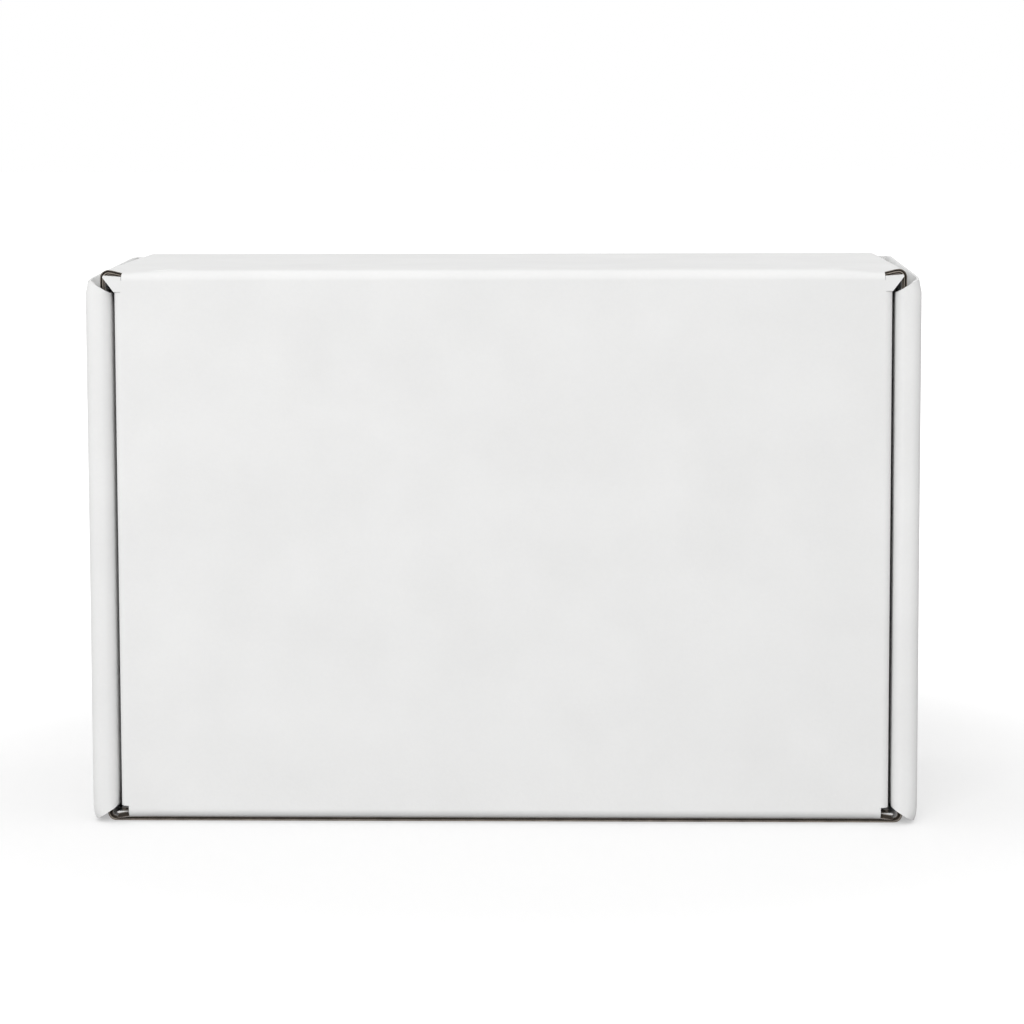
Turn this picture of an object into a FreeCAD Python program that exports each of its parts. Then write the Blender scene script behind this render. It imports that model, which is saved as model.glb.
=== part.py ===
import FreeCAD, Part
import math
import os
import Sketcher

# Closed roll-end tuck-top mailer box, folded from one sheet of thin corrugated board.
# It stands on its front wall, so the lid faces -Y, the base panel faces +Y, the rear
# wall is on top and the rolled side walls are at -X and +X. Lengths are millimetres.
# The origin is under the middle of the box, on the surface it stands on.

doc = FreeCAD.newDocument("mailer_box")
sheet = doc.addObject("Spreadsheet::Sheet", "Sizes")


class Size:
    """A length or angle: its value now, and the sheet expression that gives it."""

    def __init__(self, value, text):
        self.value = float(value)
        self.text = text

    def join(self, sign, other, value):
        return Size(value, "(%s %s %s)" % (self.text, sign, other.text))

    def __add__(self, other):
        other = as_size(other)
        return self.join("+", other, self.value + other.value)

    def __sub__(self, other):
        other = as_size(other)
        return self.join("-", other, self.value - other.value)

    def __mul__(self, other):
        other = as_size(other)
        return self.join("*", other, self.value * other.value)

    def __truediv__(self, other):
        other = as_size(other)
        return self.join("/", other, self.value / other.value)

    def __neg__(self):
        return Size(-self.value, "(-1 * %s)" % self.text)


def as_size(number):
    if isinstance(number, Size):
        return number
    return Size(number, "%g" % number)


def sine(angle):
    return Size(math.sin(math.radians(angle.value)), "sin(%s * 1 deg)" % angle.text)


def cosine(angle):
    return Size(math.cos(math.radians(angle.value)), "cos(%s * 1 deg)" % angle.text)


def size(alias, number):
    """One driving dimension, kept in its own row of the sheet."""
    size.row += 1
    cell = "B%d" % size.row
    sheet.set("A%d" % size.row, alias)
    sheet.set(cell, str(number))
    sheet.setAlias(cell, alias)
    return Size(number, "Sizes.%s" % alias)


size.row = 0

# The whole box, outside.
width = size("width", 240)
depth = size("depth", 100)
height = size("height", 161)

# The board and its folds. Every radius is on the outer liner.
board = size("board", 1.5)
fold_radius = size("fold_radius", 2.4)
play = size("layer_play", 0.3)

# Rolled side walls: outer wall, rim and inner wall.
rim_width = size("rim_width", 7.5)
side_foot = size("side_foot", 0.8)
side_head = size("side_head", 3.0)
mitre_foot = size("mitre_foot", 4.0)
mitre_head = size("mitre_head", 3.6)
tab_length = size("tab_length", 30)
tab_spacing = size("tab_spacing", 70)

# Front and rear walls, and the dust flaps between the layers of the side walls.
front_setback = size("front_setback", 3.0)
crease_inset = size("crease_inset", 7.6)
dust_length = size("dust_length", 55)
dust_taper = size("dust_taper", 5)
crush_drop = size("crush_drop", 0.4)
crush_length = size("crush_length", 4)

# Lid, with its side flaps and the small corners beside the hinge crease.
lid_gap = size("lid_gap", 1.0)
lid_setback = size("lid_setback", 0.2)
lid_radius = size("lid_radius", 2.0)
hinge_radius = size("hinge_radius", 3.0)
hinge_inset = size("hinge_inset", 2.2)
corner_reach = size("corner_reach", 2.3)
corner_rise = size("corner_rise", 1.2)
corner_height = size("corner_height", 3.4)
side_flap_depth = size("side_flap_depth", 28)
side_flap_foot = size("side_flap_foot", 4.9)
side_flap_head = size("side_flap_head", 6.2)
foot_taper = size("foot_taper", 45)
head_taper = size("head_taper", 22)

# Tuck flap, which leans off the front wall, and its ears.
tuck_radius = size("tuck_radius", 2.7)
tuck_clearance = size("tuck_clearance", 0.2)
tuck_lean = size("tuck_lean", 6.5)
tuck_depth = size("tuck_depth", 42)
tuck_inset = size("tuck_inset", 2.2)
tuck_corner = size("tuck_corner", 12)
ear_start = size("ear_start", 3)
ear_depth = size("ear_depth", 9)
ear_slope = size("ear_slope", 2.5)
ear_gap = size("ear_gap", 0.4)

doc.recompute()

# Planes and lines that several pieces share.
half_width = width / 2
front_plane = -(depth / 2)
base_outer = depth / 2
base_inner = base_outer - board
wall_end = base_outer - fold_radius
inner_face = half_width - rim_width
inner_back = inner_face + board
dust_inner = inner_back + play
dust_outer = dust_inner + board
crease_half = half_width - crease_inset
front_edge = front_plane + front_setback
lid_half = inner_face - lid_gap
lid_outer = front_plane + lid_setback
lid_inner = lid_outer + board
rear_edge = lid_outer + hinge_radius
inner_end = base_inner - play
hinge_half = lid_half - hinge_inset
tuck_half = lid_half - tuck_inset
hinge_edge = height - hinge_radius
tuck_low = board - crush_drop + tuck_clearance
tuck_edge = tuck_low + tuck_radius
rim_foot = side_foot + mitre_foot
rim_head = height - side_head - mitre_head
side_top = height - side_head


def find_plane(body, role):
    for feature in body.Origin.OriginFeatures:
        if feature.Role == role:
            return feature
    raise RuntimeError("no origin plane " + role)


def new_body(name):
    body = doc.addObject("PartDesign::Body", name)
    body.Label = name
    return body


def corner_xy(corner):
    return corner[0].value, corner[1].value


def arc_geometry(start, end, centre, counterclockwise):
    """The arc from start to end, and which of its ends is met first."""
    cx, cy = corner_xy(centre)
    sx, sy = corner_xy(start)
    ex, ey = corner_xy(end)
    circle = Part.Circle(FreeCAD.Vector(cx, cy, 0), FreeCAD.Vector(0, 0, 1), math.hypot(sx - cx, sy - cy))
    first = math.atan2(sy - cy, sx - cx)
    last = math.atan2(ey - cy, ex - cx)
    if not counterclockwise:
        first, last = last, first
    if last <= first:
        last += 2 * math.pi
    return Part.ArcOfCircle(circle, first, last), (1, 2) if counterclockwise else (2, 1)


def draw(body, name, role, loops, offset):
    """A fully constrained sketch on an origin plane of the body, moved along the plane's normal.

    A loop is a list of corners. A corner with two sizes is followed by a straight line, and a
    corner (x, y, centre, radius, counterclockwise) by an arc.
    """
    sketch = body.newObject("Sketcher::SketchObject", name)
    sketch.AttachmentSupport = [(find_plane(body, role), "")]
    sketch.MapMode = "FlatFace"
    for loop in loops:
        base = sketch.GeometryCount
        ends = []
        for place, corner in enumerate(loop):
            following = loop[(place + 1) % len(loop)]
            if len(corner) == 2:
                points = [FreeCAD.Vector(*corner_xy(item), 0) for item in (corner, following)]
                sketch.addGeometry(Part.LineSegment(*points), False)
                ends.append((1, 2))
            else:
                arc, order = arc_geometry(corner, following, corner[2], corner[4])
                sketch.addGeometry(arc, False)
                ends.append(order)
        for place, corner in enumerate(loop):
            edge = base + place
            before = (place - 1) % len(loop)
            sketch.addConstraint(
                Sketcher.Constraint("Coincident", base + before, ends[before][1], edge, ends[place][0])
            )
            for kind, distance in (("DistanceX", corner[0]), ("DistanceY", corner[1])):
                index = sketch.addConstraint(
                    Sketcher.Constraint(kind, -1, 1, edge, ends[place][0], distance.value)
                )
                sketch.setExpression("Constraints[%d]" % index, distance.text)
            if len(corner) > 2:
                index = sketch.addConstraint(Sketcher.Constraint("Radius", edge, corner[3].value))
                sketch.setExpression("Constraints[%d]" % index, corner[3].text)
    sketch.setExpression("AttachmentOffset.Base.z", as_size(offset).text)
    return sketch


def extrude(body, kind, name, role, loops, start, end):
    """Pads or pockets the loops between two places along X, Y or Z."""
    along_normal = role != "XZ_Plane"
    offset = start if along_normal else -end
    sketch = draw(body, name + "_outline", role, loops, offset)
    feature = body.newObject("PartDesign::" + kind, name)
    feature.Profile = sketch
    feature.Reversed = kind == "Pocket"
    feature.setExpression("Length", (end - start).text)
    doc.recompute()
    return feature


def pad(body, name, role, loops, start, end):
    return extrude(body, "Pad", name, role, loops, start, end)


def cut(body, name, role, loops, start, end):
    """A pocket that has to take something away."""
    volume = body.Shape.Volume
    feature = extrude(body, "Pocket", name, role, loops, start, end)
    if not body.Shape.Volume < volume:
        raise RuntimeError(name + " cuts nothing")
    return feature


def mirrored(loop):
    """The same loop on the other side of the middle plane."""
    return [(-corner[0], corner[1]) for corner in reversed(loop)]


def rectangle(left, right, low, high):
    return [(left, low), (right, low), (right, high), (left, high)]


def fold(corners, radius, thickness):
    """Section of a folded strip, from the corners of its outer face.

    The path turns right at every corner, and the strip's inner face lies to the
    right of it. Each corner between the two ends becomes a bend.
    """
    outer = []
    inner = []
    for place, corner in enumerate(corners):
        if place == 0 or place == len(corners) - 1:
            other = corners[1] if place == 0 else corners[-2]
            here, there = corner_xy(corner), corner_xy(other)
            ahead = unit(here, there) if place == 0 else unit(there, here)
            outer.append(corner)
            inner.append(step(corner, right_of(ahead), thickness))
            continue
        back = unit(corner_xy(corner), corner_xy(corners[place - 1]))
        ahead = unit(corner_xy(corner), corner_xy(corners[place + 1]))
        centre = step(step(corner, back, radius), ahead, radius)
        start = step(corner, back, radius)
        end = step(corner, ahead, radius)
        outer.append(start + (centre, radius, False))
        outer.append(end)
        inner_radius = radius - thickness
        inner.append(step(centre, (-ahead[0], -ahead[1]), inner_radius))
        inner.append(step(centre, (-back[0], -back[1]), inner_radius) + (centre, inner_radius, True))
    return outer + list(reversed(inner))


def unit(here, there):
    run = math.hypot(there[0] - here[0], there[1] - here[1])
    return (round((there[0] - here[0]) / run), round((there[1] - here[1]) / run))


def right_of(direction):
    return (direction[1], -direction[0])


def step(point, direction, distance):
    """The point moved along X or Y by a size."""
    moved = []
    for place, way in zip(point[:2], direction):
        if way > 0:
            moved.append(place + distance)
        elif way < 0:
            moved.append(place - distance)
        else:
            moved.append(place)
    return tuple(moved)


def make_end_walls(body):
    """Front wall, base panel and rear wall in one strip."""
    section = fold(
        [
            (rear_edge, height),
            (base_outer, height),
            (base_outer, as_size(0)),
            (front_edge, as_size(0)),
        ],
        fold_radius,
        board,
    )
    pad(body, "end_walls", "YZ_Plane", [section], -crease_half, crease_half)


def make_dust_flaps(body):
    """The end walls turn into dust flaps at both ends, between the layers of the side walls."""
    rear = fold(
        [
            (-dust_outer, height - dust_length),
            (-dust_outer, height),
            (dust_outer, height),
            (dust_outer, height - dust_length),
        ],
        fold_radius,
        board,
    )
    front = fold(
        [
            (dust_outer, dust_length),
            (dust_outer, as_size(0)),
            (-dust_outer, as_size(0)),
            (-dust_outer, dust_length),
        ],
        fold_radius,
        board,
    )
    pad(body, "rear_dust_flaps", "XZ_Plane", [rear], rear_edge, wall_end)
    pad(body, "front_dust_flaps", "XZ_Plane", [front], front_edge, wall_end)
    flap_root = fold_radius * 2
    rear_tapers = [
        [
            (rear_edge, height - flap_root),
            (rear_edge, height - dust_length),
            (rear_edge + dust_taper, height - dust_length),
        ],
        [
            (wall_end, height - flap_root),
            (wall_end - dust_taper, height - dust_length),
            (wall_end, height - dust_length),
        ],
    ]
    front_tapers = [
        [
            (front_edge, flap_root),
            (front_edge + dust_taper, dust_length),
            (front_edge, dust_length),
        ],
        [
            (wall_end, flap_root),
            (wall_end, dust_length),
            (wall_end - dust_taper, dust_length),
        ],
    ]
    cut(body, "rear_flap_tapers", "YZ_Plane", rear_tapers, -dust_outer, dust_outer)
    cut(body, "front_flap_tapers", "YZ_Plane", front_tapers, -dust_outer, dust_outer)


def make_tuck_crush(body):
    """The front wall's raw edge, pressed thinner along the line where the tuck fold bears on it."""
    crush = [
        (front_edge, board - crush_drop),
        (front_edge + crush_length, board),
        (front_edge, board),
    ]
    crush_half = dust_outer - fold_radius
    cut(body, "tuck_crush", "YZ_Plane", [crush], -crush_half, crush_half)


def make_side_walls(body):
    """Outer walls, rims and inner walls rolled up from the base, with mitred rim ends."""
    section = fold(
        [
            (-inner_face, inner_end),
            (-inner_face, front_plane),
            (-half_width, front_plane),
            (-half_width, base_outer),
            (half_width, base_outer),
            (half_width, front_plane),
            (inner_face, front_plane),
            (inner_face, inner_end),
        ],
        fold_radius,
        board,
    )
    pad(body, "side_walls", "XY_Plane", [section], side_foot, side_top)
    clear_face = inner_face - play
    foot_mitre = [
        (clear_face, as_size(0)),
        (half_width, as_size(0)),
        (half_width, side_foot),
        (inner_face, rim_foot),
        (clear_face, rim_foot),
    ]
    head_mitre = [
        (clear_face, rim_head),
        (inner_face, rim_head),
        (half_width, side_top),
        (half_width, height),
        (clear_face, height),
    ]
    cut(body, "foot_mitres", "XZ_Plane", [foot_mitre, mirrored(foot_mitre)], front_plane, front_edge)
    cut(body, "head_mitres", "XZ_Plane", [head_mitre, mirrored(head_mitre)], front_plane, rear_edge)
    clear_back = inner_back + play / 2
    foot_trim = rectangle(clear_face, clear_back, board, rim_foot)
    head_trim = rectangle(clear_face, clear_back, rim_head, height - board)
    cut(body, "inner_wall_feet", "XZ_Plane", [foot_trim, mirrored(foot_trim)], front_edge, inner_end)
    cut(body, "inner_wall_heads", "XZ_Plane", [head_trim, mirrored(head_trim)], rear_edge, inner_end)


def make_locking_tabs(body):
    """Tabs on the free edges of the inner walls, and the slots in the base that hold them."""
    slots = []
    tabs = []
    for way in (-1, 1):
        middle = height / 2 + tab_spacing / 2 * way
        low = middle - tab_length / 2
        high = middle + tab_length / 2
        slot = rectangle(inner_face - play, inner_back + play, low - play, high + play)
        tab = rectangle(inner_face, inner_back, low, high)
        slots += [slot, mirrored(slot)]
        tabs += [tab, mirrored(tab)]
    cut(body, "tab_slots", "XZ_Plane", slots, base_inner, base_outer)
    pad(body, "locking_tabs", "XZ_Plane", tabs, inner_end - board, base_outer - play)


def make_tray():
    body = new_body("tray")
    make_end_walls(body)
    make_dust_flaps(body)
    make_tuck_crush(body)
    make_side_walls(body)
    make_locking_tabs(body)
    return body


def make_lid():
    """Lid panel with a side flap turned in along each side, and its corners beside the hinge."""
    body = new_body("lid")
    flap_end = lid_outer + side_flap_depth
    fold_end = lid_outer + lid_radius
    flap_low = side_flap_foot
    flap_high = height - side_flap_head
    flat_half = lid_half - lid_radius
    corner_inner = hinge_half + play
    corner_outer = lid_half + corner_reach
    corner_top = hinge_edge + corner_rise
    right_side = [
        (tuck_half, tuck_edge),
        (tuck_half, flap_low),
        (flat_half, flap_low),
        (flat_half, flap_high),
        (lid_half, flap_high),
        (corner_outer, flap_high + corner_height),
        (corner_outer, corner_top),
        (corner_inner, corner_top),
        (corner_inner, hinge_edge),
    ]
    pad(body, "lid_panel", "XZ_Plane", [right_side + mirrored(right_side)], lid_outer, lid_inner)
    section = fold(
        [
            (lid_half, flap_end),
            (lid_half, lid_outer),
            (-lid_half, lid_outer),
            (-lid_half, flap_end),
        ],
        lid_radius,
        board,
    )
    pad(body, "lid_side_flaps", "XY_Plane", [section], flap_low, flap_high)
    tapers = [
        [
            (fold_end, flap_low),
            (flap_end, flap_low),
            (flap_end, flap_low + foot_taper),
        ],
        [
            (fold_end, flap_high),
            (flap_end, flap_high - head_taper),
            (flap_end, flap_high),
        ],
    ]
    cut(body, "side_flap_tapers", "YZ_Plane", tapers, -lid_half, lid_half)
    return body


def make_hinge_fold():
    """The scored strip that bends between the rear wall and the lid."""
    body = new_body("hinge_fold")
    centre = (rear_edge, hinge_edge)
    ring = [
        (lid_outer, hinge_edge, centre, hinge_radius, False),
        (rear_edge, height),
        (rear_edge, height - board, centre, hinge_radius - board, True),
        (lid_inner, hinge_edge),
    ]
    pad(body, "hinge_strip", "YZ_Plane", [ring], -hinge_half, hinge_half)
    return body


def make_tuck_fold():
    """The scored strip between the lid and its tuck flap, bent a little past square."""
    body = new_body("tuck_fold")
    centre = (lid_outer + tuck_radius, tuck_edge)
    inner_radius = tuck_radius - board
    across = sine(tuck_lean)
    down = cosine(tuck_lean)
    ring = [
        (lid_outer, tuck_edge, centre, tuck_radius, True),
        (centre[0] + across * tuck_radius, tuck_edge - down * tuck_radius),
        (centre[0] + across * inner_radius, tuck_edge - down * inner_radius, centre, inner_radius, False),
        (lid_inner, tuck_edge),
    ]
    pad(body, "tuck_strip", "YZ_Plane", [ring], -tuck_half, tuck_half)
    return body


def make_tuck_flap():
    """The flap that tucks in behind the front wall, drawn flat and set leaning."""
    body = new_body("tuck_flap")
    ear_half = inner_face - ear_gap
    ear_end = ear_start + ear_depth
    shoulder = ear_end + ear_slope
    nothing = as_size(0)
    centre = (tuck_half - tuck_corner, tuck_depth - tuck_corner)
    left_centre = (-centre[0], centre[1])
    outline = [
        (-tuck_half, nothing),
        (tuck_half, nothing),
        (tuck_half, ear_start),
        (ear_half, ear_start),
        (ear_half, ear_end),
        (tuck_half, shoulder),
        (tuck_half, centre[1], centre, tuck_corner, True),
        (centre[0], tuck_depth),
        (-centre[0], tuck_depth, left_centre, tuck_corner, True),
        (-tuck_half, centre[1]),
        (-tuck_half, shoulder),
        (-ear_half, ear_end),
        (-ear_half, ear_start),
        (-tuck_half, ear_start),
    ]
    pad(body, "tuck_panel", "XY_Plane", [outline], nothing, board)
    root_y = lid_outer + tuck_radius + sine(tuck_lean) * tuck_radius
    root_z = tuck_edge - cosine(tuck_lean) * tuck_radius
    body.setExpression("Placement.Base.y", root_y.text)
    body.setExpression("Placement.Base.z", root_z.text)
    body.Placement.Rotation = FreeCAD.Rotation(FreeCAD.Vector(1, 0, 0), tuck_lean.value)
    return body


def check_document():
    for item in doc.Objects:
        if "Invalid" in item.State or "Error" in item.State:
            raise RuntimeError(item.Name + " failed")


def export_parts(bodies):
    os.makedirs("parts", exist_ok=True)
    for body in bodies:
        shape = body.Shape
        if shape.isNull() or not shape.isValid() or len(shape.Solids) != 1:
            raise RuntimeError(body.Label + " is not one sound solid")
    for body in bodies:
        body.Shape.exportStep("parts/" + body.Label + ".step")


def middle_of_fold(radius):
    """How far in from both outer faces a fold's axis lies, so that its length stays the same."""
    return radius - (radius - board / 2) * (math.pi / 4)


pieces = [make_tray(), make_lid(), make_hinge_fold(), make_tuck_fold(), make_tuck_flap()]
doc.recompute()
check_document()
export_parts(pieces)

hinge_depth = middle_of_fold(hinge_radius)
print("hinge axis", lid_outer.value + hinge_depth.value, height.value - hinge_depth.value)
print("tuck axis", lid_outer.value + board.value / 2, tuck_low.value + board.value / 2)
for piece in pieces:
    print(piece.Label, round(piece.Shape.Volume, 1), piece.Shape.BoundBox)
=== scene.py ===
"""White corrugated mailer box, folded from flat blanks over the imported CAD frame."""

import math

import bmesh
import bpy
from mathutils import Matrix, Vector, noise


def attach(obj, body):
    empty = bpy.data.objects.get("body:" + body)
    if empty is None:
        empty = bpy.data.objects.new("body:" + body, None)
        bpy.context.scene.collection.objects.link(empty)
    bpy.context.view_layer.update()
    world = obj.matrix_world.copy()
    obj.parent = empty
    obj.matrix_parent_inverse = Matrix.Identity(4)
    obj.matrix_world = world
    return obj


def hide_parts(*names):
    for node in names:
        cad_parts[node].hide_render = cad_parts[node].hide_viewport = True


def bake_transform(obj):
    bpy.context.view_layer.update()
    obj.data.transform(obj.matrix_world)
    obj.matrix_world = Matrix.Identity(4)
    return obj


bl_info = {
    "name": "Corrugated mailer box",
    "version": (1, 0, 0),
    "blender": (4, 5, 0),
    "location": "View3D > Sidebar > Mailer",
    "description": "Folds a closed white mailer box from its flat blanks",
    "category": "Add Mesh",
}

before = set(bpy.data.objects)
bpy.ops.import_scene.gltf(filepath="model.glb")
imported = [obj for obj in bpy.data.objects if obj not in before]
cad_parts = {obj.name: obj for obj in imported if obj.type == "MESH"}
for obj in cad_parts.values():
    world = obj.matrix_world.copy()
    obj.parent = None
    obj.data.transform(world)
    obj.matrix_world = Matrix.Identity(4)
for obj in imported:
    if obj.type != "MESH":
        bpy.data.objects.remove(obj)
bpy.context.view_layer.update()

# Sizes of the folded board, in millimetres of the CAD model.
BOARD = 1.5
HALF_WIDTH = 120.0
BACK = 50.0
FRONT = -50.0
TOP = 161.0
FOLD_RADIUS = 2.4
RIM_RADIUS = 3.1
CREASE_HALF = 112.4
INNER_FACE = 112.5
INNER_END = 48.2
TAB_END = 49.7
DUST_OUTER = 115.8
DUST_LENGTH = 55.0
DUST_TAPER = 5.0
DUST_REACH = 1.0
REAR_EDGE = -46.8
FRONT_EDGE = -47.0
SIDE_FOOT = 0.8
SIDE_TOP = 158.0
SIDE_TOP_BACK = 159.9
RIM_FOOT = 4.8
RIM_HEAD = 154.4
LID_OUTER = -49.8
LID_HALF = 111.5
LID_RADIUS = 2.0
HINGE_HALF = 109.3
HINGE_EDGE = 158.0
HINGE_RADIUS = 3.0
TUCK_EDGE = 4.0
TUCK_RADIUS = 2.7
TUCK_LEAN = math.radians(6.5)
TUCK_DEPTH = 42.0
TUCK_CORNER = 12.0
EAR_HALF = 112.1
FLAP_FOOT = 4.9
FLAP_HEAD = 154.8
FLAP_END = -21.8
SLIT = 0.1
SEAM = 1.0
CRUSH_DROP = 0.4
CRUSH_LENGTH = 4.0
FLAP_FOOT_SLANT = 45.0
FLAP_HEAD_SLANT = 22.0
TAB_MIDDLES = (45.5, 115.5)
TAB_HALF = 15.0
SLOT_PLAY = 0.3
RIM_STRIPS = 24
EAR_FOOT = 3.0
EAR_TIP = 12.0
EAR_ROOT = 14.5
CORNER_SEGMENTS = 12

# The lid's small corners beyond the ends of the hinge crease. Rises count from the lid's upper edge.
CORNER_SLIT = 109.4
CORNER_ROOT = 113.95
CORNER_TIP = 114.7
CORNER_ROUND = 0.2
CORNER_TIP_RISE = 1.0
CORNER_HEAD_RISE = 1.5
CORNER_SLIT_RISE = 1.1

# The tongues at the ends of the tuck crease. Rises count from the flap's side of the strip.
TONGUE_HALF = 113.2
TONGUE_DROP = 0.8
TONGUE_ROUND = 0.6
TONGUE_RISES = (0.1, 0.5, 1.0, 1.7)
TONGUE_LEAD = 3.0
TONGUE_FADE = 1.2

# How the board gives: pressed cut edges, leaning wall ends, the sinking hinge crease, uneven panels.
PINCH = 0.5
PINCH_REACH = 2.2
PINCH_WALL_FADE = 8.0
PINCH_RIM_FADE = 2.0
LEAN = 1.2
LEAN_REACH = 4.5
LEAN_WIDTH = 7.0
LEAN_POWER = 2.5
DROOP = 0.9
DROOP_RUN = 14.0
DROOP_TAIL = 4.4
DROOP_BACK = 9.0
DROOP_AHEAD = 5.6
DROOP_POWER = 1.5
WAVE_LENGTH = 55.0
WAVE_SEED_STEP = 3.7
REAR_SAG = 0.12
PANEL_SAG = 0.14
SAG_SIDES = 18.0
SAG_ENDS = 12.0
SAG_HEIGHT = 14.0
LID_WAVE = 0.13
LID_RISE = 0.03
LID_WAVE_SIDES = 22.0
LID_WAVE_ENDS = 16.0
REAR_SEED = 3.1
BASE_SEED = 5.3
WALL_SEED = 8.7
LID_SEED = 1.9

# How finely a blank is divided, and how near two values count as the same.
WALL_STEP = 9.0
LID_STEP = 8.0
STRIP_STEP = 1.0
BEND_LEAD = 0.4
LEAST_SPACING = 0.06
PRESS_LEAD = 0.5
PRESS_NEAR = 0.05
NEAR = 1e-4
TINY = 1e-6
PROBE = 0.01
SHARPEST = 0.35

# Papers and flutes inside the board, in metres.
LINER_PAPER = 0.00022
FLUTE_PAPER = 0.0002
FLUTE_PITCH = 0.0034
FLUTE_DRIFT = 0.0006
FLUTE_DRIFT_LENGTH = 0.045
FLUTE_SEED = 4.0

# The flute strip inside a raw edge, in millimetres.
FLUTE_FRONT = 0.07
FLUTE_OVERLAP = 0.04
FLUTE_STEP = 0.45
FLUTE_STEP_ACROSS = 8.0

# Material slots of a folded piece, where the third is painted shade, a near-black sheet at the back of each
# open raw edge that stands in for the shade between the flutes; then the angle from which its edges look
# sharp, and a noise's usual range.
LINER, CUT, FLUTE_SHADE = 0, 1, 2
SHARP_ANGLE = 40.0
NOISE_MIDDLE = (0.3, 0.7)

# The stage, in metres. The camera's turn is in degrees and its sensor's width in millimetres.
FLOOR_HALF = 8.0
PAPER_SEEN = 0.65
PAPER_THROWN = 0.3
# Painted shade: within these distances of the box the floor's glow falls to the lower level, a soft pool of
# shade around the box.
SHADE_POOL_NEAR = 0.14
SHADE_POOL_FAR = 0.42
SHADE_POOL_GLOW = 0.38
KEY_SIZE = 1.0
KEY_PLACE = (-0.6, -1.95, 0.5)
KEY_TARGET = (0.0, 0.0, 0.08)
SENSOR_WIDTH = 36
CAMERA_PLACE = (0.0267, -0.9544, 0.2101)
CAMERA_TURN = (84.37, 0.17, 1.498)
CAMERA_SHIFT = -0.1
CAMERA_NEAR = 0.01


class FoldPath:
    """A strip's outer face seen from its end: straight runs joined by bends that all turn right."""

    def __init__(self, corners, radii):
        points = [Vector(corner) for corner in corners]
        self.parts = []
        self.bends = []
        place = points[0]
        distance = 0.0
        for before, corner, after, radius in zip(points, points[1:], points[2:], radii):
            heading = (corner - before).normalized()
            turn = heading.angle((after - corner).normalized())
            tangent = radius * math.tan(turn / 2)
            start = corner - heading * tangent
            self.parts.append((distance, (start - place).length, place, heading, 0.0))
            distance += (start - place).length
            self.parts.append((distance, radius * turn, start, heading, radius))
            self.bends.append((distance, distance + radius * turn))
            distance += radius * turn
            place = corner + (after - corner).normalized() * tangent
        last = points[-1] - place
        self.parts.append((distance, last.length, place, last.normalized(), 0.0))
        self.length = distance + last.length

    def at(self, distance):
        """The point at that distance along the outer face, and the way into the board there."""
        part = self.parts[0]
        for candidate in self.parts:
            if candidate[0] <= distance:
                part = candidate
        start, _, origin, heading, radius = part
        inward = Vector((heading.y, -heading.x))
        if not radius:
            return origin + heading * (distance - start), inward
        angle = (distance - start) / radius
        into = inward * math.cos(angle) - heading * math.sin(angle)
        return origin + (inward - into) * radius, into

    def lines(self, step, bend_segments):
        """Where the blank is divided: evenly on the runs, finely in the bends."""
        found = []
        for start, length, _, _, radius in self.parts:
            count = bend_segments if radius else max(1, round(length / step))
            found += [start + length * index / count for index in range(count + 1)]
            if radius:
                found += [start - BEND_LEAD, start + length + BEND_LEAD]
        return found


def split(panel, axis, line):
    """A convex panel as its two parts, below and above a line."""
    below, above = [], []
    for here, there in zip(panel, panel[1:] + panel[:1]):
        first, second = here[axis] - line, there[axis] - line
        if first <= TINY:
            below.append(here)
        if first >= -TINY:
            above.append(here)
        if min(first, second) < -TINY and max(first, second) > TINY:
            share = first / (first - second)
            point = tuple(a + (b - a) * share for a, b in zip(here, there))
            below.append(point)
            above.append(point)
    return below, above


def divide(panel, axis, lines):
    """A convex panel cut along each of the lines that crosses it."""
    parts = []
    low = min(point[axis] for point in panel)
    high = max(point[axis] for point in panel)
    for line in lines:
        if low + TINY < line < high - TINY:
            part, panel = split(panel, axis, line)
            parts.append(part)
    return parts + [panel]


def is_rectangle(panel):
    return len(panel) == 4 and len({x for x, _ in panel}) == 2 and len({y for _, y in panel}) == 2


def spaced(lines, needed):
    """The needed lines, and those of the others that aren't too near another."""
    kept = sorted({round(value, 4) for value in needed})
    for value in sorted({round(value, 4) for value in lines}):
        if all(abs(value - other) > LEAST_SPACING for other in kept):
            kept.append(value)
    return sorted(kept)


class Blank:
    """A flat blank: convex panels divided into small faces that share their corners."""

    def __init__(self, panels, lines_across, lines_along, holes=()):
        panels = [[tuple(round(value, 4) for value in point) for point in panel] for panel in panels]
        corners = [point for panel in panels if is_rectangle(panel) for point in panel]
        across = spaced(lines_across, [point[0] for point in corners])
        along = spaced(lines_along, [point[1] for point in corners])
        self.points = []
        self.faces = []
        known = {}
        for panel in panels:
            for column in divide(panel, 0, across):
                for cell in divide(column, 1, along):
                    self.add_face(cell, known, holes)
        self.find_border()

    def add_face(self, cell, known, holes):
        middle = [sum(point[axis] for point in cell) / len(cell) for axis in (0, 1)]
        for left, right, low, high in holes:
            if left < middle[0] < right and low < middle[1] < high:
                return
        face = []
        for point in cell:
            key = (round(point[0], 3), round(point[1], 3))
            if key not in known:
                known[key] = len(self.points)
                self.points.append(point)
            if known[key] not in face:
                face.append(known[key])
        if len(face) > 2:
            self.faces.append(face)

    def find_border(self):
        directed = set()
        for face in self.faces:
            directed.update(zip(face, face[1:] + face[:1]))
        self.border = {a: b for a, b in directed if (b, a) not in directed}
        self.before = {b: a for a, b in self.border.items()}
        edges = [edge for edge in directed if edge[::-1] not in directed]
        if len(edges) != len(self.border) or len(edges) != len(self.before):
            ends = [a for a, b in edges]
            double = sorted(self.points[a] for a in set(ends) if ends.count(a) > 1)
            raise RuntimeError("the blank's border touches itself at %s" % double[:12])


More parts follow.
